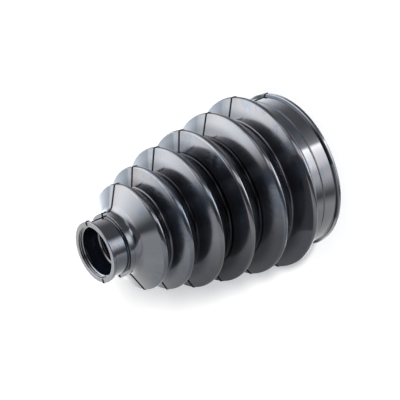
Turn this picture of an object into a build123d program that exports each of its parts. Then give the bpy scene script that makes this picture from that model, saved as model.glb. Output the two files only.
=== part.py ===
from build123d import *
import os
from math import hypot, radians, tan

# Bellows boot for a constant velocity joint: one rubber moulding, round about Z.
# Millimetres. The large rim's end face is at Z = 0 and the small end is up.

wall = 2.0

# Large collar, which a clamp band holds on the joint's housing
large_seat_radius = 40.9
large_seat_length = 13.2
large_collar_wall = 2.1
large_lip_height = 1.4
large_lip_width = 1.6
large_lip_slope = 1.2

# Fine line round the large collar, by distance from the foot of the last fold
large_line_height = 0.3
large_line_width = 0.8
large_line_drop = 5.6

# Small collar, which a clamp band holds on the shaft
small_seat_radius = 15.2
small_seat_length = 8.4
small_collar_wall = 1.5
small_lip_height = 1.2
small_lip_width = 1.8
small_rib_height = 1.9
small_rib_width = 2.5

# Ribs inside the large collar that seal on the housing, by height above the rim
large_seal_height = 0.6
large_seal_width = 2.0
large_seal_places = (4.5, 9.5)

# Ribs inside the small collar, by depth below its mouth: a fine one, and two that seal on the shaft
mouth_rib_height = 0.3
mouth_rib_width = 0.8
mouth_rib_depth = 1.2
small_seal_height = 0.7
small_seal_width = 1.8
small_seal_depths = (2.7, 13.0)

# Neck between the small collar's rib and the first fold
neck_height = 1.3
neck_length = 3.3
neck_round = 4.5

# Crests of the folds: heights above the collars' seats, and the distance from the first crest to the last
first_crest_height = 13.3
last_crest_height = 6.3
fold_span = 83.2

# Land along each crest, slightly crowned
crest_land = 2.7
crest_crown = 0.2
crown_round = 4.5
crest_round = 0.8

# Where each crest lies on the way from the first to the last, as shares of the span and of the rise
crest_places = (0, 0.156, 0.345, 0.555, 0.784, 1)
crest_rises = (0, 0.257, 0.519, 0.695, 0.856, 1)

# Roots between the folds: depths below the first and last crests, evenly stepped between
first_root_depth = 5.9
last_root_depth = 11.1
root_round = 1.1

# Flanks: angles from the axis of those that rise from a root to the second and later crests, and the outermost two
front_flank_angles = (69, 66, 70, 61.5, 62.5)
first_flank_run = 6.05
last_flank_run = 4.45
foot_round = 1.0

# Small rounds at edges
edge_round = 0.4
rib_round = 0.25
fine_round = 0.15
inner_crest_round = 0.8
throat_round = 3.0

# Flash along the mould's parting plane, on both sides
seam_height = 0.3
seam_width = 0.7

# Radii and heights that follow
large_bore_radius = large_seat_radius - large_collar_wall
large_lip_radius = large_seat_radius + large_lip_height
small_bore_radius = small_seat_radius - small_collar_wall
small_lip_radius = small_seat_radius + small_lip_height
small_rib_radius = small_seat_radius + small_rib_height
neck_radius = small_seat_radius + neck_height
first_crest_radius = small_seat_radius + first_crest_height
last_crest_radius = large_seat_radius + last_crest_height
first_root_radius = first_crest_radius - first_root_depth
last_root_radius = last_crest_radius - last_root_depth
seat_foot_z = large_lip_width + large_lip_slope
foot_z = seat_foot_z + large_seat_length
large_line_z = foot_z - large_line_drop
last_crest_z = foot_z + last_flank_run + crest_land / 2
first_crest_z = last_crest_z + fold_span
neck_z = first_crest_z + crest_land / 2 + first_flank_run
rib_foot_z = neck_z + neck_length
rib_top_z = rib_foot_z + small_rib_width
seat_top_z = rib_top_z + small_seat_length
length = seat_top_z + small_lip_width


def fold_flanks():
    """Straight flanks of the folds, from the neck down to the large collar, as pairs of (radius, height)."""
    lands = [
        (
            first_crest_radius + rise * (last_crest_radius - first_crest_radius) - crest_crown,
            first_crest_z - place * fold_span,
        )
        for place, rise in zip(crest_places, crest_rises)
    ]
    steps = len(front_flank_angles) - 1
    flanks = []
    start = (neck_radius, neck_z)
    for i, angle in enumerate(front_flank_angles):
        radius, height = lands[i]
        next_radius, next_height = lands[i + 1]
        root_radius = first_root_radius + i / steps * (last_root_radius - first_root_radius)
        root_z = next_height + crest_land / 2 + (next_radius - root_radius) / tan(radians(angle))
        flanks.append((start, (radius, height + crest_land / 2)))
        start = (root_radius, root_z)
        flanks.append(((radius, height - crest_land / 2), start))
    radius, height = lands[-1]
    flanks.append((start, (radius, height + crest_land / 2)))
    flanks.append(((radius, height - crest_land / 2), (large_seat_radius, foot_z)))
    return flanks


def shifted(flank, distance):
    """A flank moved towards the inside of the boot."""
    (r0, z0), (r1, z1) = flank
    size = hypot(r1 - r0, z1 - z0)
    dr = (z1 - z0) / size * distance
    dz = -(r1 - r0) / size * distance
    return (r0 + dr, z0 + dz), (r1 + dr, z1 + dz)


def crossing(first, second):
    """Point where two straight lines meet."""
    (r0, z0), (r1, z1) = first
    (r2, z2), (r3, z3) = second
    spread = (r1 - r0) * (z3 - z2) - (z1 - z0) * (r3 - r2)
    share = ((r2 - r0) * (z3 - z2) - (z2 - z0) * (r3 - r2)) / spread
    return r0 + share * (r1 - r0), z0 + share * (z1 - z0)


def rib_corners(base_radius, height, middle, width):
    """Four corners of a rib with sloped sides, from the upper one down: radius, height, round."""
    half = width / 2
    top = half / 2
    return [
        (base_radius, middle + half, fine_round),
        (base_radius + height, middle + top, fine_round),
        (base_radius + height, middle - top, fine_round),
        (base_radius, middle - half, fine_round),
    ]


def outer_corners():
    """Outside of the section from the small end's mouth down to the large rim: radius, height, round."""
    corners = [
        (small_bore_radius, length, edge_round),
        (small_lip_radius, length, edge_round),
        (small_lip_radius, seat_top_z, edge_round),
        (small_seat_radius, seat_top_z, fine_round),
        (small_seat_radius, rib_top_z, fine_round),
        (small_rib_radius, rib_top_z, rib_round),
        (small_rib_radius, rib_foot_z, rib_round),
        (neck_radius, rib_foot_z, fine_round),
        (neck_radius, neck_z, neck_round),
    ]
    flanks = fold_flanks()
    for i in range(0, len(flanks), 2):
        last = i + 2 == len(flanks)
        upper, lower = flanks[i][1], flanks[i + 1][0]
        corners.append((*upper, crest_round))
        corners.append((upper[0] + crest_crown, (upper[1] + lower[1]) / 2, crown_round))
        corners.append((*lower, crest_round))
        corners.append((*flanks[i + 1][1], foot_round if last else root_round))
    corners += rib_corners(large_seat_radius, large_line_height, large_line_z, large_line_width)
    corners += [
        (large_seat_radius, seat_foot_z, edge_round),
        (large_lip_radius, large_lip_width, edge_round),
        (large_lip_radius, 0, edge_round),
    ]
    return corners


def lining(distance, small_radius, large_radius):
    """Folds followed inside the wall at a distance, from a cylinder in the large collar up to one in the small."""
    flanks = [shifted(flank, distance) for flank in fold_flanks()]
    small_side = ((small_radius, length), (small_radius, 0))
    large_side = ((large_radius, length), (large_radius, 0))
    lines = [small_side, *flanks, large_side]
    corners = []
    for i in range(len(lines) - 1, 0, -1):
        if i in (1, len(lines) - 1):
            corner_round = throat_round
        elif i % 2 == 0:
            corner_round = inner_crest_round
        else:
            corner_round = root_round + distance
        corners.append((*crossing(lines[i - 1], lines[i]), corner_round))
    return corners


def inner_corners():
    """Inside of the section from the large rim up to the small end's mouth: radius, height, round."""
    corners = [(large_bore_radius, 0, edge_round)]
    for place in large_seal_places:
        corners += rib_corners(large_bore_radius, -large_seal_height, place, large_seal_width)[::-1]
    corners += lining(wall, small_bore_radius, large_bore_radius)
    for depth in reversed(small_seal_depths):
        corners += rib_corners(small_bore_radius, -small_seal_height, length - depth, small_seal_width)[::-1]
    mouth_rib_z = length - mouth_rib_depth
    corners += rib_corners(small_bore_radius, -mouth_rib_height, mouth_rib_z, mouth_rib_width)[::-1]
    return corners


def grown(corners, distance):
    """Inner corners of an outline moved outwards, with each round kept parallel."""
    moved = []
    for i in range(1, len(corners) - 1):
        before, corner, after = corners[i - 1 : i + 2]
        first = shifted((before[:2], corner[:2]), -distance)
        second = shifted((corner[:2], after[:2]), -distance)
        turn = (corner[0] - before[0]) * (after[1] - corner[1]) - (corner[1] - before[1]) * (after[0] - corner[0])
        rounded = corner[2] + distance if turn < 0 else max(corner[2] - distance, 0)
        moved.append((*crossing(first, second), rounded))
    return moved


def filled(corners):
    """Face in the XZ plane inside a closed outline of rounded corners."""
    points = [(radius, height) for radius, height, _ in corners]
    rounds = [corner_round for _, _, corner_round in corners]
    return Plane.XZ * make_face(FilletPolyline(*points, radius=rounds, close=True))


def seam():
    """Thin flash along the outside of the wall, on the +X side, rooted half way into the wall."""
    outside = grown(outer_corners(), seam_height)
    small_middle = small_seat_radius - small_collar_wall / 2
    large_middle = large_seat_radius - large_collar_wall / 2
    rim = [(large_lip_radius + seam_height, 0, 0), (large_middle, 0, 0)]
    mouth = [(small_middle, length + seam_height, 0)]
    ribbon = filled(outside + rim + lining(wall / 2, small_middle, large_middle) + mouth)
    return extrude(ribbon, amount=seam_width / 2, both=True)


def boot():
    """The wall turned from a section a quarter turn away from the parting plane, with its flash."""
    half_section = filled(outer_corners() + inner_corners())
    body = revolve(Rotation(0, 0, 90) * half_section, Axis.Z)
    flash = seam()
    return body + flash + flash.mirror(Plane.YZ)


os.makedirs("parts", exist_ok=True)
export_step(boot(), "parts/boot.step")
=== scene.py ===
from math import cos, pi, radians, sin

import bpy
from mathutils import Matrix, Vector


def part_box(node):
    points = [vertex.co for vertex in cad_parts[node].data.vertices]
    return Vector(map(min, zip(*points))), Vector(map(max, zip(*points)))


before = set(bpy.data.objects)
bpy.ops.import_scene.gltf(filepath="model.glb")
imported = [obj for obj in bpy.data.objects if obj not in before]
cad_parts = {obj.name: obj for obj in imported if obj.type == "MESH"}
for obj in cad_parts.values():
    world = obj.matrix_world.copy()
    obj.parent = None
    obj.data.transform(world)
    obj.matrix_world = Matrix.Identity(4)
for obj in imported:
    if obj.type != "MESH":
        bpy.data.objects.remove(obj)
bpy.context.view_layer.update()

MM = 0.001
WHITE = (1, 1, 1, 1)

# Camera: how far the boot's axis leans from the line of sight and from the picture's horizontal,
# how far its flash line is turned, and where the small end's mouth lies in the picture
AXIS_TO_SIGHT = radians(57.82)
AXIS_IN_PICTURE = radians(23.42)
SEAM_TURN = radians(14.5)
MOUTH_BELOW_TOP = 0.3 * MM
MOUTH_DISTANCE = 1.139
MOUTH_IN_PICTURE = (-105.3, -52.6)
PICTURE_PIXELS = 400
FOCAL_PIXELS = 2267
SENSOR_WIDTH = 36

# Light: the white surroundings, the key light and the pale floor
WORLD_LIGHT = 0.45
KEY_LIGHT = 1.0
KEY_SOFTNESS = radians(6)
KEY_DIRECTION = (183, 5)
FLOOR_HALF = 3.0
FLOOR_COLOUR = (0.95, 0.93, 0.89, 1)
FLOOR_GLOW = (0.17, 0.19, 0.23, 1)

# Cards that show in the gloss: direction as turn and rise in degrees, distance, width and height,
# brightness, fade of the left, right, bottom and top edge as a share of the half size, and colour
CARDS = {
    "left_softbox": ((-102, 26.7), 0.7, (1.58, 1.43), 13.8, (0.88, 0.89, 0.8, 0.74), WHITE),
    "left_wing": ((-47.7, -6), 0.9, (0.87, 1.19), 3.85, (0.2, 0.35, 1.42, 0.3), (0.9, 0.99, 1.09, 1)),
    "right_softbox": ((125.4, 16.8), 0.48, (0.549, 0.474), 21.2, (1.5, 0.58, 1.55, 1.09), WHITE),
    "right_strip": ((113.6, 19.5), 0.737, (0.17, 0.46), 42, (0.4, 0.4, 0.8, 0.3), WHITE),
    "front_softbox": ((160, 25), 0.7, (0.5, 0.33), 10, (0.8, 0.8, 0.6, 0.6), WHITE),
    "top_softbox": ((-165, 46), 1.0, (0.8, 0.55), 5, (0.6, 0.6, 0.6, 0.6), WHITE),
    "right_wing": ((83.8, 22.4), 0.197, (0.219, 0.298), 7.83, (0.29, 1.6, 0.6, 1.6), WHITE),
    "back_softbox": ((-11.6, 52.4), 1.0, (0.637, 1.23), 3.1, (0.68, 1.6, 0.57, 1.1), (0.98, 1.0, 1.06, 1)),
    "dark_room": ((155, -2), 1.1, (1.04, 0.53), 0.3, (0.3, 0.3, 0.3, 0.3), WHITE),
}

# White table that the folds lie on in the picture, as their gloss shows it
TABLE_TILT = radians(18.6)
TABLE_CONTACT_Z = 39.8 * MM
TABLE_CONTACT_RADIUS = 44.5 * MM
TABLE_GAP = 1 * MM
TABLE_SIDES = (-0.24, 0.175)
TABLE_SIDE_FADES = (0.095, 0.065)
TABLE_ENDS = (-0.5, 1.5)
TABLE_BRIGHTNESS = 3.67
TABLE_SLOPE = -2.1
TABLE_RISE = 2.5

# Its painted shadow along the line of contact, the fainter painted shadow under the small end,
# the glowing card of painted light under the large collar, and the dark card of painted shade beside the fifth fold
SHADOW_BRIGHTNESS = 0.2
SHADOW_HALF_LENGTH = 33.7 * MM
SHADOW_REACH = 70 * MM
SHADOW_NEAR_SIDE = 0.64
SMALL_END_LIGHT = 0.75
SMALL_END_LINE = -50 * MM
SMALL_END_HALF_WIDTH = 16 * MM
SMALL_END_START = (60 * MM, 90 * MM)
RIM_GLOW = 5.8
RIM_GLOW_PLACE = (-31 * MM, 34 * MM, 6 * MM)
RIM_GLOW_SIZE = (24 * MM, 36 * MM)
RIM_GLOW_FADES = (0.5, 0.5, 0.5, 0.5)
FOLD_SHADE = 0.6
FOLD_SHADE_TURN = radians(-105)
FOLD_SHADE_Z = 40 * MM
FOLD_SHADE_SIZE = (-28 * MM, 28 * MM, 30 * MM, 48.5 * MM)

# Form of the boot: where the folds start and end, their crests, the line over the crests and
# the depth of the grooves below it as polynomials of the height, and the collar's ring and lip
FOLDS = (17 * MM, 19 * MM, 104 * MM, 106 * MM)
CRESTS = (105.0 * MM, 92.0 * MM, 76.3 * MM, 58.8 * MM, 39.8 * MM, 21.8 * MM)
CREST_LINE = (47.766 * MM, -0.002663, -1.698)
GROOVE_DEPTH = (10.8 * MM, -0.0206)
LAND = (-2.0 * MM, 0.3 * MM, 1.3 * MM, 1.7 * MM)
LAND_LEAN = 0.38
COLLAR = (16 * MM, 14 * MM)
RING_Z = 10.5 * MM
RING_EDGE = (0.9 * MM, 0.6 * MM)
LIP_STEP = (1.9 * MM, 2.1 * MM, 2.6 * MM, 2.9 * MM)
SEAM_HALF_WIDTH = 0.42 * MM
SEAM_EDGE = (1.15 * SEAM_HALF_WIDTH, 0.85 * SEAM_HALF_WIDTH)
SEAM_WANDER = 0.4 * MM

# Rubber: base colours and tints of the gloss
BLACK_RUBBER = (0.0026, 0.0034, 0.0054, 1)
HAZE = (0.02, 0.042, 0.085, 1)
# Painted shade: the dark colours that the gloss falls to in the grooves, in their roots and on the flash line
GROOVE_SHADE_COLOUR = (0.0100, 0.0100, 0.0130, 1)
ROOT_SHADE_COLOUR = (0.0030, 0.0030, 0.0038, 1)
SEAM_SHADE_COLOUR = (0.0030, 0.0031, 0.0034, 1)
CLEAN_SHEEN = (0.94, 0.98, 1.07, 1)
HAZY_SHEEN = (0.91, 0.96, 1.06, 1)
WARM_SHEEN = (1.0, 0.95, 1.0, 1)
WIPED_SHEEN = (0.72, 0.87, 1.08, 1)

# Painted shade: share of the gloss taken away in the grooves, in their roots and at the lip's step,
# and the depths over which the first two set in
GROOVE = (0.3, 0.8)
ROOT = (0.93, 0.98)
GROOVE_SHADE_SHARE = 0.62
ROOT_SHADE_SHARE = 0.93
STEP_SHADE_SHARE = 0.85

# Haze: scales of the noise, the range of cloud over which each effect sets in, and its amount
CLOUD_SCALE = 38
WIPED_SCALE = 75
WARM_SCALE = 27
SEAM_SCALE = 400
HAZE_CLOUD = (0.42, 0.75)
HAZE_AMOUNT = 0.12
SHEEN_CLOUD = (0.42, 0.7)
WIPED_CLOUD = (0.48, 0.58)
WIPED_HALF_WIDTH = 0.06
WARM_RANGE = (0.52, 0.68)
WARM_AMOUNT = 0.8

# Roughness of the clean and the hazy rubber, its share on the collars, and what is added or set
ROUGHNESS_CLOUD = (0.35, 0.7)
ROUGHNESS = (0.09, 0.14)
COLLAR_ROUGHNESS = 0.55
WIPED_ROUGHNESS = 0.06
STREAK_ROUGHNESS = 0.06
SEAM_ROUGHNESS = 0.6
RING_ROUGHNESS = 0.3

# Streaks round the axis: scale of the noise, its squeeze, its slant, and their height elsewhere and on the collar
STREAK_SCALE = 1300
STREAK_SQUEEZE = 0.01
STREAK_SLANT = 0.6
STREAK_HEIGHT = (0.005 * MM, 0.012 * MM)
ANISOTROPY = 0.9
ANISOTROPY_TURN = 0.25

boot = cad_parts["boot"]
low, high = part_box("boot")
middle = (low + high) / 2
mouth = Vector((0, 0, high.z - MOUTH_BELOW_TOP))


def camera_axes():
    """The boot's +X, +Y and +Z as the camera sees them: right, up and towards the camera."""
    z_axis = Vector((
        -sin(AXIS_TO_SIGHT) * cos(AXIS_IN_PICTURE),
        -sin(AXIS_TO_SIGHT) * sin(AXIS_IN_PICTURE),
        cos(AXIS_TO_SIGHT),
    ))
    across = Vector((-sin(AXIS_IN_PICTURE), cos(AXIS_IN_PICTURE), 0))
    away = across.cross(z_axis)
    x_axis = cos(SEAM_TURN) * across + sin(SEAM_TURN) * away
    return x_axis, z_axis.cross(x_axis), z_axis


to_world = Matrix(camera_axes())


def link(thing):
    bpy.context.scene.collection.objects.link(thing)
    return thing


def stand(place, x_axis, y_axis, z_axis):
    """Placement of a piece with these axes."""
    return Matrix.Translation(place) @ Matrix((x_axis, y_axis, z_axis)).transposed().to_4x4()


def facing(direction, distance):
    """Placement that faces the boot from a direction: turned to the right from straight behind it
    and raised, in degrees, as the camera sees it."""
    turn, rise = (radians(angle) for angle in direction)
    towards = to_world @ Vector((sin(turn) * cos(rise), sin(rise), -cos(turn) * cos(rise)))
    up = to_world @ Vector((0, 1, 0))
    across = up.cross(towards).normalized()
    return stand(middle + towards * distance, across, towards.cross(across), towards)


def add_camera():
    """A long lens looking down on the small end."""
    data = bpy.data.cameras.new("camera")
    data.sensor_width = SENSOR_WIDTH
    data.lens = SENSOR_WIDTH * FOCAL_PIXELS / PICTURE_PIXELS
    camera = link(bpy.data.objects.new("camera", data))
    seen = Vector((*MOUTH_IN_PICTURE, -FOCAL_PIXELS)) * (MOUTH_DISTANCE / FOCAL_PIXELS)
    camera.matrix_world = Matrix.Translation(mouth - to_world @ seen) @ to_world.to_4x4()
    bpy.context.scene.camera = camera


def add_key():
    """Soft even light that shades the rubber and gives the floor its shadow, but isn't in the gloss."""
    data = bpy.data.lights.new("key", "SUN")
    data.angle = KEY_SOFTNESS
    data.energy = KEY_LIGHT * pi
    lamp = link(bpy.data.objects.new("key", data))
    lamp.matrix_world = facing(KEY_DIRECTION, 1)
    lamp.visible_glossy = False


class Nodes:
    """Node tree of one material, filled by short calls."""

    def __init__(self, name):
        self.material = bpy.data.materials.new(name)
        self.material.use_nodes = True
        self.tree = self.material.node_tree
        self.tree.nodes.clear()
        self.output = self.add("OutputMaterial")

    def add(self, kind, **settings):
        node = self.tree.nodes.new("ShaderNode" + kind)
        for name, value in settings.items():
            setattr(node, name, value)
        return node

    def put(self, value, socket):
        if isinstance(value, bpy.types.NodeSocket):
            self.tree.links.new(value, socket)
        else:
            socket.default_value = value

    def math(self, operation, first, second=0.0, third=0.0):
        node = self.add("Math", operation=operation)
        for value, socket in zip((first, second, third), node.inputs):
            self.put(value, socket)
        return node.outputs[0]

    def times(self, first, second):
        return self.math("MULTIPLY", first, second)

    def length(self, first, second):
        """Length of the long side over two others."""
        return self.math("SQRT", self.math("MULTIPLY_ADD", first, first, self.times(second, second)))

    def offset(self, value, middle_value):
        return self.math("ABSOLUTE", self.math("SUBTRACT", value, middle_value))

    def span(self, value, start, end, to_start=0.0, to_end=1.0, smooth=True):
        """Value carried from one range to another, eased at both ends."""
        node = self.add("MapRange", interpolation_type="SMOOTHSTEP" if smooth else "LINEAR")
        given = {"Value": value, "From Min": start, "From Max": end, "To Min": to_start, "To Max": to_end}
        for name, number in given.items():
            self.put(number, node.inputs[name])
        return node.outputs["Result"]

    def between(self, value, start, full, full_end, end):
        """1 within a range that fades out at both ends."""
        return self.times(self.span(value, start, full), self.span(value, end, full_end))

    def place(self):
        """Place on the object, in metres."""
        split = self.add("SeparateXYZ")
        self.tree.links.new(self.add("TexCoord").outputs["Object"], split.inputs[0])
        return split.outputs

    def vector(self, x, y, z):
        node = self.add("CombineXYZ")
        for value, socket in zip((x, y, z), node.inputs):
            self.put(value, socket)
        return node.outputs[0]

    def noise(self, where, scale, detail=3, roughness=0.5, distortion=0.0):
        node = self.add("TexNoise")
        given = {"Vector": where, "Scale": scale, "Detail": detail, "Roughness": roughness, "Distortion": distortion}
        for name, value in given.items():
            self.put(value, node.inputs[name])
        return node.outputs["Fac"]

    def blend(self, amount, first, second):
        """Colour between two others."""
        node = self.add("Mix", data_type="RGBA")
        for value, socket in ((amount, node.inputs[0]), (first, node.inputs[6]), (second, node.inputs[7])):
            self.put(value, socket)
        return node.outputs[2]

    def glow(self, strength, colour=WHITE):
        node = self.add("Emission")
        node.inputs["Color"].default_value = colour
        self.put(strength, node.inputs["Strength"])
        return node.outputs[0]

    def covering(self, cover, shader):
        """Shader that is clear where it doesn't cover."""
        node = self.add("MixShader")
        for value, socket in zip((cover, self.add("BsdfTransparent").outputs[0], shader), node.inputs):
            self.put(value, socket)
        return node.outputs[0]

    def finish(self, shader):
        self.tree.links.new(shader, self.output.inputs[0])
        return self.material


def add_stage(name, left, right, bottom, top, material, placement, in_gloss=True):
    """Flat stage piece that throws no light or shadow, and shows either in the gloss or to the camera."""
    mesh = bpy.data.meshes.new(name)
    mesh.from_pydata([(left, bottom, 0), (right, bottom, 0), (right, top, 0), (left, top, 0)], [], [(0, 1, 2, 3)])
    mesh.materials.append(material)
    piece = link(bpy.data.objects.new(name, mesh))
    piece.matrix_world = placement
    piece.visible_diffuse = False
    piece.visible_shadow = False
    piece.visible_transmission = False
    piece.visible_glossy = in_gloss
    piece.visible_camera = not in_gloss


def add_card(name, placement, size, brightness, fades, colour=WHITE):
    """Glowing card whose edges fade over a share of its half size: left, right, bottom, top."""
    half_width, half_height = size[0] / 2, size[1] / 2
    nodes = Nodes(name)
    x, y, _ = nodes.place()
    cover = 1.0
    for along, half, edge_fades in ((x, half_width, fades[:2]), (y, half_height, fades[2:])):
        for sign, fade in zip((1, -1), edge_fades):
            inside = nodes.times(along, sign)
            cover = nodes.times(nodes.span(inside, -half, -half + fade * half), cover)
    material = nodes.finish(nodes.covering(cover, nodes.glow(brightness, colour)))
    add_stage(name, -half_width, half_width, -half_height, half_height, material, placement)


def add_table():
    """Glowing card for the table under the folds in the gloss, with painted light on it and a painted shadow near
    the folds, and a glowing card of painted light under the large collar.
    """
    up = to_world @ Vector((0, cos(TABLE_TILT), sin(TABLE_TILT)))
    right = to_world @ Vector((1, 0, 0))
    ahead = up.cross(right)
    axis = Vector((0, 0, 1))
    outwards = -(up - up.z * axis).normalized()
    contact = axis * TABLE_CONTACT_Z + outwards * TABLE_CONTACT_RADIUS
    line = Vector((axis.dot(right), axis.dot(ahead))).normalized()

    nodes = Nodes("table")
    x, y, _ = nodes.place()
    lengthwise = nodes.math("MULTIPLY_ADD", x, line.x, nodes.times(y, line.y))
    across = nodes.math("MULTIPLY_ADD", x, line.y, nodes.times(y, -line.x))
    # Painted light on the glowing table, changing across and along it, and its painted shadow, darkest along the
    # line of contact and fainter under the small end
    lit = nodes.math("MULTIPLY_ADD", x, TABLE_SLOPE, TABLE_BRIGHTNESS)
    lit = nodes.math("MULTIPLY_ADD", lengthwise, TABLE_RISE, lit)
    past_ends = nodes.math("SUBTRACT", nodes.math("ABSOLUTE", lengthwise), SHADOW_HALF_LENGTH)
    past_ends = nodes.math("MAXIMUM", past_ends, 0)
    sideways = nodes.math("MAXIMUM", across, nodes.times(across, -SHADOW_NEAR_SIDE))
    off_contact = nodes.length(sideways, past_ends)
    strength = nodes.span(off_contact, 0, SHADOW_REACH, SHADOW_BRIGHTNESS, lit, smooth=False)
    off_line = nodes.offset(across, SMALL_END_LINE)
    under_end = nodes.times(
        nodes.span(off_line, SMALL_END_HALF_WIDTH, SMALL_END_HALF_WIDTH / 2),
        nodes.span(lengthwise, *SMALL_END_START),
    )
    strength = nodes.times(strength, nodes.span(under_end, 0, 1, 1, SMALL_END_LIGHT))
    left_side, right_side = TABLE_SIDES
    left_fade, right_fade = TABLE_SIDE_FADES
    cover = nodes.between(x, left_side, left_side + left_fade, right_side - right_fade, right_side)
    material = nodes.finish(nodes.covering(cover, nodes.glow(strength)))
    placement = stand(contact - up * TABLE_GAP, right, ahead, up)
    add_stage("table", *TABLE_SIDES, *TABLE_ENDS, material, placement)

    lengthways = right * line.x + ahead * line.y
    placement = stand(contact, lengthways, up.cross(lengthways), up) @ Matrix.Translation(RIM_GLOW_PLACE)
    add_card("rim_glow", placement, RIM_GLOW_SIZE, RIM_GLOW, RIM_GLOW_FADES)


def add_fold_shade():
    """Dark card of painted shade beside the fifth fold, which the sixth fold reflects where it lies on the table."""
    axis = Vector((0, 0, 1))
    out = Vector((cos(FOLD_SHADE_TURN), sin(FOLD_SHADE_TURN), 0))
    nodes = Nodes("fold_shade")
    material = nodes.finish(nodes.glow(FOLD_SHADE))
    placement = stand(axis * FOLD_SHADE_Z, out.cross(axis), out, axis)
    add_stage("fold_shade", *FOLD_SHADE_SIZE, material, placement)


def add_floor():
    """Pale floor under the rim, which keeps the boot's soft shadow."""
    nodes = Nodes("floor")
    diffuse = nodes.add("BsdfDiffuse")
    diffuse.inputs["Color"].default_value = FLOOR_COLOUR
    both = nodes.add("AddShader")
    nodes.put(diffuse.outputs[0], both.inputs[0])
    nodes.put(nodes.glow(1.0, FLOOR_GLOW), both.inputs[1])
    material = nodes.finish(both.outputs[0])
    sides = (-FLOOR_HALF, FLOOR_HALF)
    add_stage("floor", *sides, *sides, material, Matrix.Identity(4), in_gloss=False)


def set_world():
    """White to the camera and in the gloss, and a plain soft level as light."""
    world = bpy.data.worlds.new("world")
    world.use_nodes = True
    tree = world.node_tree
    background = tree.nodes["Background"]
    path = tree.nodes.new("ShaderNodeLightPath")
    seen = path.outputs["Is Camera Ray"]
    for name in ("Is Glossy Ray", "Is Transmission Ray"):
        either = tree.nodes.new("ShaderNodeMath")
        either.operation = "MAXIMUM"
        tree.links.new(seen, either.inputs[0])
        tree.links.new(path.outputs[name], either.inputs[1])
        seen = either.outputs[0]
    level = tree.nodes.new("ShaderNodeMapRange")
    level.inputs["To Min"].default_value = WORLD_LIGHT
    level.inputs["To Max"].default_value = 1.0
    tree.links.new(seen, level.inputs["Value"])
    tree.links.new(level.outputs["Result"], background.inputs["Strength"])
    background.inputs["Color"].default_value = WHITE
    bpy.context.scene.world = world


def leaning_normal(nodes, z):
    """Surface direction, with the lands rounder towards the small end than the turned form."""
    lean = 0.0
    for crest in CRESTS:
        on_land = nodes.between(nodes.math("SUBTRACT", z, crest), *LAND)
        lean = nodes.math("MULTIPLY_ADD", on_land, LAND_LEAN, lean)
    leaning = nodes.add("VectorMath", operation="ADD")
    nodes.put(nodes.add("NewGeometry").outputs["Normal"], leaning.inputs[0])
    nodes.put(nodes.vector(0, 0, lean), leaning.inputs[1])
    normal = nodes.add("VectorMath", operation="NORMALIZE")
    nodes.put(leaning.outputs[0], normal.inputs[0])
    return normal.outputs[0]


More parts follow.
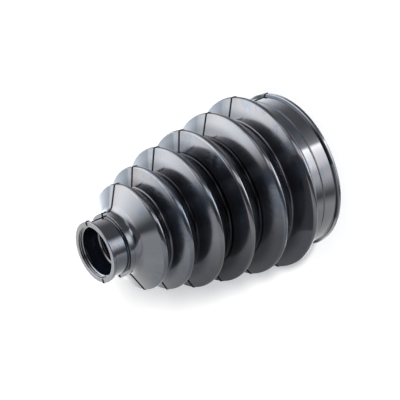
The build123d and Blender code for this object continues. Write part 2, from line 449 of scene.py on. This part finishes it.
def rubber():
    """Black moulded rubber: glossy, hazy and streaked round the axis, rougher on the flash, with painted shade in
    the grooves, on the lip's step and on the flash.
    """
    nodes = Nodes("rubber")
    x, y, z = nodes.place()
    where = nodes.vector(x, y, z)
    radius = nodes.length(x, y)

    # Depth below the line over the crests, as a share of the grooves' depth
    folds = nodes.between(z, *FOLDS)
    crest_line = nodes.math("MULTIPLY_ADD", z, CREST_LINE[2], CREST_LINE[1])
    crest_line = nodes.math("MULTIPLY_ADD", z, crest_line, CREST_LINE[0])
    deepest = nodes.math("MULTIPLY_ADD", z, GROOVE_DEPTH[1], GROOVE_DEPTH[0])
    sunk = nodes.math("DIVIDE", nodes.math("SUBTRACT", crest_line, radius), deepest)
    # Painted shade in the grooves and in their roots, setting in with depth
    groove = nodes.times(nodes.span(sunk, *GROOVE), folds)
    root = nodes.times(nodes.span(sunk, *ROOT), folds)

    # Streaks that run round the axis, strongest on the large collar
    slanted = nodes.math("MULTIPLY_ADD", radius, STREAK_SLANT, z)
    turned = nodes.vector(nodes.times(x, STREAK_SQUEEZE), nodes.times(y, STREAK_SQUEEZE), slanted)
    streaks = nodes.math("SUBTRACT", nodes.noise(turned, STREAK_SCALE, roughness=0.6), 0.5)
    streak_height = nodes.span(nodes.span(z, *COLLAR), 0, 1, *STREAK_HEIGHT)

    # Haze: soft clouds, thin wiped marks inside them, and warmer patches
    clouds = nodes.noise(where, CLOUD_SCALE, roughness=0.55, distortion=0.4)
    wiped = nodes.offset(nodes.noise(where, WIPED_SCALE, roughness=0.6, distortion=1.8), 0.5)
    marks = nodes.times(nodes.span(wiped, WIPED_HALF_WIDTH, 0.0), nodes.span(clouds, *WIPED_CLOUD))
    warm = nodes.span(nodes.noise(where, WARM_SCALE, detail=1, distortion=0.6), *WARM_RANGE)

    # Flash line, the lip's step and the ring round the large collar
    wander = nodes.math("SUBTRACT", nodes.noise(where, SEAM_SCALE, detail=1), 0.5)
    off_seam = nodes.math("ABSOLUTE", nodes.math("MULTIPLY_ADD", wander, SEAM_WANDER, y))
    # The flash line: rougher, and painted shade takes its gloss away
    seam = nodes.span(off_seam, *SEAM_EDGE)
    # The lip's step: painted shade takes its gloss away
    step = nodes.between(z, *LIP_STEP)
    off_ring = nodes.offset(z, RING_Z)

    haze = nodes.times(nodes.math("SUBTRACT", 1.0, groove), nodes.span(clouds, *HAZE_CLOUD, 0, HAZE_AMOUNT))
    colour = nodes.blend(haze, BLACK_RUBBER, HAZE)
    # Painted shade: the dark colours that the gloss falls to in the grooves, their roots and on the flash line
    colour = nodes.blend(groove, colour, GROOVE_SHADE_COLOUR)
    colour = nodes.blend(root, colour, ROOT_SHADE_COLOUR)
    colour = nodes.blend(seam, colour, SEAM_SHADE_COLOUR)

    sheen = nodes.blend(nodes.span(clouds, *SHEEN_CLOUD), CLEAN_SHEEN, HAZY_SHEEN)
    sheen = nodes.blend(nodes.times(warm, WARM_AMOUNT), sheen, WARM_SHEEN)
    sheen = nodes.blend(marks, sheen, WIPED_SHEEN)

    roughness = nodes.span(clouds, *ROUGHNESS_CLOUD, *ROUGHNESS)
    roughness = nodes.times(roughness, nodes.span(folds, 0, 1, COLLAR_ROUGHNESS, 1))
    roughness = nodes.math("MULTIPLY_ADD", marks, WIPED_ROUGHNESS, roughness)
    roughness = nodes.math("MULTIPLY_ADD", streaks, STREAK_ROUGHNESS, roughness)
    roughness = nodes.math("MAXIMUM", roughness, nodes.times(seam, SEAM_ROUGHNESS))
    roughness = nodes.math("MAXIMUM", roughness, nodes.span(off_ring, *RING_EDGE, 0, RING_ROUGHNESS))

    # Painted shade: where metal takes over, the gloss falls to the dark base colour, on the flash line, in the
    # grooves and their roots and on the lip's step
    painted_shade = nodes.math("MAXIMUM", seam, nodes.times(groove, GROOVE_SHADE_SHARE))
    painted_shade = nodes.math("MAXIMUM", painted_shade, nodes.times(root, ROOT_SHADE_SHARE))
    painted_shade = nodes.math("MAXIMUM", painted_shade, nodes.times(step, STEP_SHADE_SHARE))

    bump = nodes.add("Bump")
    bump.inputs["Strength"].default_value = 1.0
    bump.inputs["Distance"].default_value = 1.0
    nodes.put(nodes.times(streaks, streak_height), bump.inputs["Height"])
    nodes.put(leaning_normal(nodes, z), bump.inputs["Normal"])
    tangent = nodes.add("Tangent", direction_type="RADIAL", axis="Z")

    shader = nodes.add("BsdfPrincipled")
    linked = {
        "Base Color": colour,
        "Roughness": roughness,
        "Specular Tint": sheen,
        "Metallic": painted_shade,
        "Normal": bump.outputs[0],
        "Tangent": tangent.outputs[0],
    }
    for name, value in linked.items():
        nodes.put(value, shader.inputs[name])
    shader.inputs["Anisotropic"].default_value = ANISOTROPY
    shader.inputs["Anisotropic Rotation"].default_value = ANISOTROPY_TURN
    return nodes.finish(shader.outputs[0])


add_camera()
for name, (direction, distance, size, brightness, fades, colour) in CARDS.items():
    add_card(name, facing(direction, distance), size, brightness, fades, colour)
add_table()
add_fold_shade()
add_key()
add_floor()
set_world()
boot.material_slots[0].material = rubber()
bpy.context.scene.view_settings.view_transform = "Standard"
